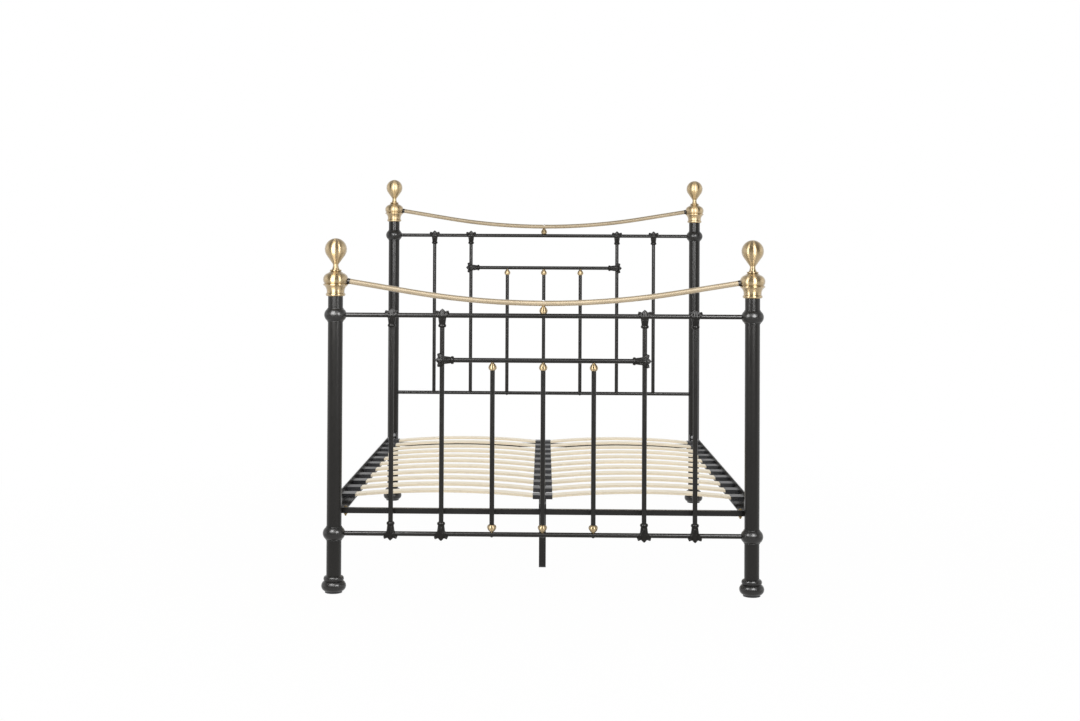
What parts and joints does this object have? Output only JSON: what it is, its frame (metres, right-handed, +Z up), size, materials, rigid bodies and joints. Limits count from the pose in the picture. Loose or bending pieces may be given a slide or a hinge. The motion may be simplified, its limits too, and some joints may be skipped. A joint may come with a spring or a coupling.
{
  "type": "metal bed frame",
  "caption": "Victorian style double bedstead: black posts, rails and spindles with cast joints, brass caps, finials and drooping top rails, and a sprung slatted base for a mattress.",
  "frame": {"origin": "on the floor, at the middle of the bed", "axes": "+X across the bed to the right of someone who looks from the foot end, +Y from the foot end to the head end, +Z up"},
  "size_m": [1.485, 2.0348, 1.4929],
  "materials": {
    "black_metal": "satin black powder coat",
    "black_casting": "satin black paint on castings",
    "antique_brass": "satin antique brass",
    "birch": "pale sealed birch ply",
    "black_plastic": "moulded matte",
    "yellow_zinc": "yellow zinc plate",
    "bright_steel": "bright zinc plate"
  },
  "bodies": {
    "root": {"brass_rail_ferrules": "black_metal", "brass_rail_screws": "bright_steel", "centre_legs": "black_metal", "centre_rail": "black_metal", "centre_slat_caps": "black_plastic", "crossbar_bolts": "yellow_zinc", "crossbar_foot": "black_metal", "crossbar_head": "black_metal", "crossbar_nuts": "yellow_zinc", "finial_studs": "bright_steel", "floor_glides": "black_plastic", "foot_brass_rail": "antique_brass", "foot_caps": "antique_brass", "foot_finials": "antique_brass", "foot_inner_spindles": "black_metal", "foot_lower_collars": "black_casting", "foot_lower_joints": "black_casting", "foot_lower_knobs": "antique_brass", "foot_lower_rail": "black_metal", "foot_mid_joints": "black_casting", "foot_mid_knobs": "antique_brass", "foot_mid_rail": "black_metal", "foot_outer_spindles": "black_metal", "foot_post_left": "black_metal", "foot_post_right": "black_metal", "foot_short_spindles": "black_metal", "foot_top_joints": "black_casting", "foot_top_rail": "black_metal", "foot_upper_collars": "black_casting", "head_brass_rail": "antique_brass", "head_caps": "antique_brass", "head_finials": "antique_brass", "head_inner_spindles": "black_metal", "head_lower_rail": "black_metal", "head_mid_joints": "black_casting", "head_mid_knobs": "antique_brass", "head_mid_rail": "black_metal", "head_outer_spindles": "black_metal", "head_post_left": "black_metal", "head_post_right": "black_metal", "head_short_spindles": "black_metal", "head_top_joints": "black_casting", "head_top_rail": "black_metal", "head_upper_collars": "black_casting", "knob_studs": "bright_steel", "leg_plugs": "black_plastic", "post_feet": "black_casting", "post_nut_bars": "bright_steel", "post_plugs": "bright_steel", "post_saddles": "black_casting", "rail_bolts": "bright_steel", "rail_knobs": "antique_brass", "side_rail_left": "black_metal", "side_rail_right": "black_metal", "slat_holders_left": "black_plastic", "slat_holders_right": "black_plastic", "slats_left": "birch", "slats_right": "birch", "spindle_inserts": "bright_steel", "spindle_screws": "black_metal"}
  },
  "joints": []
}
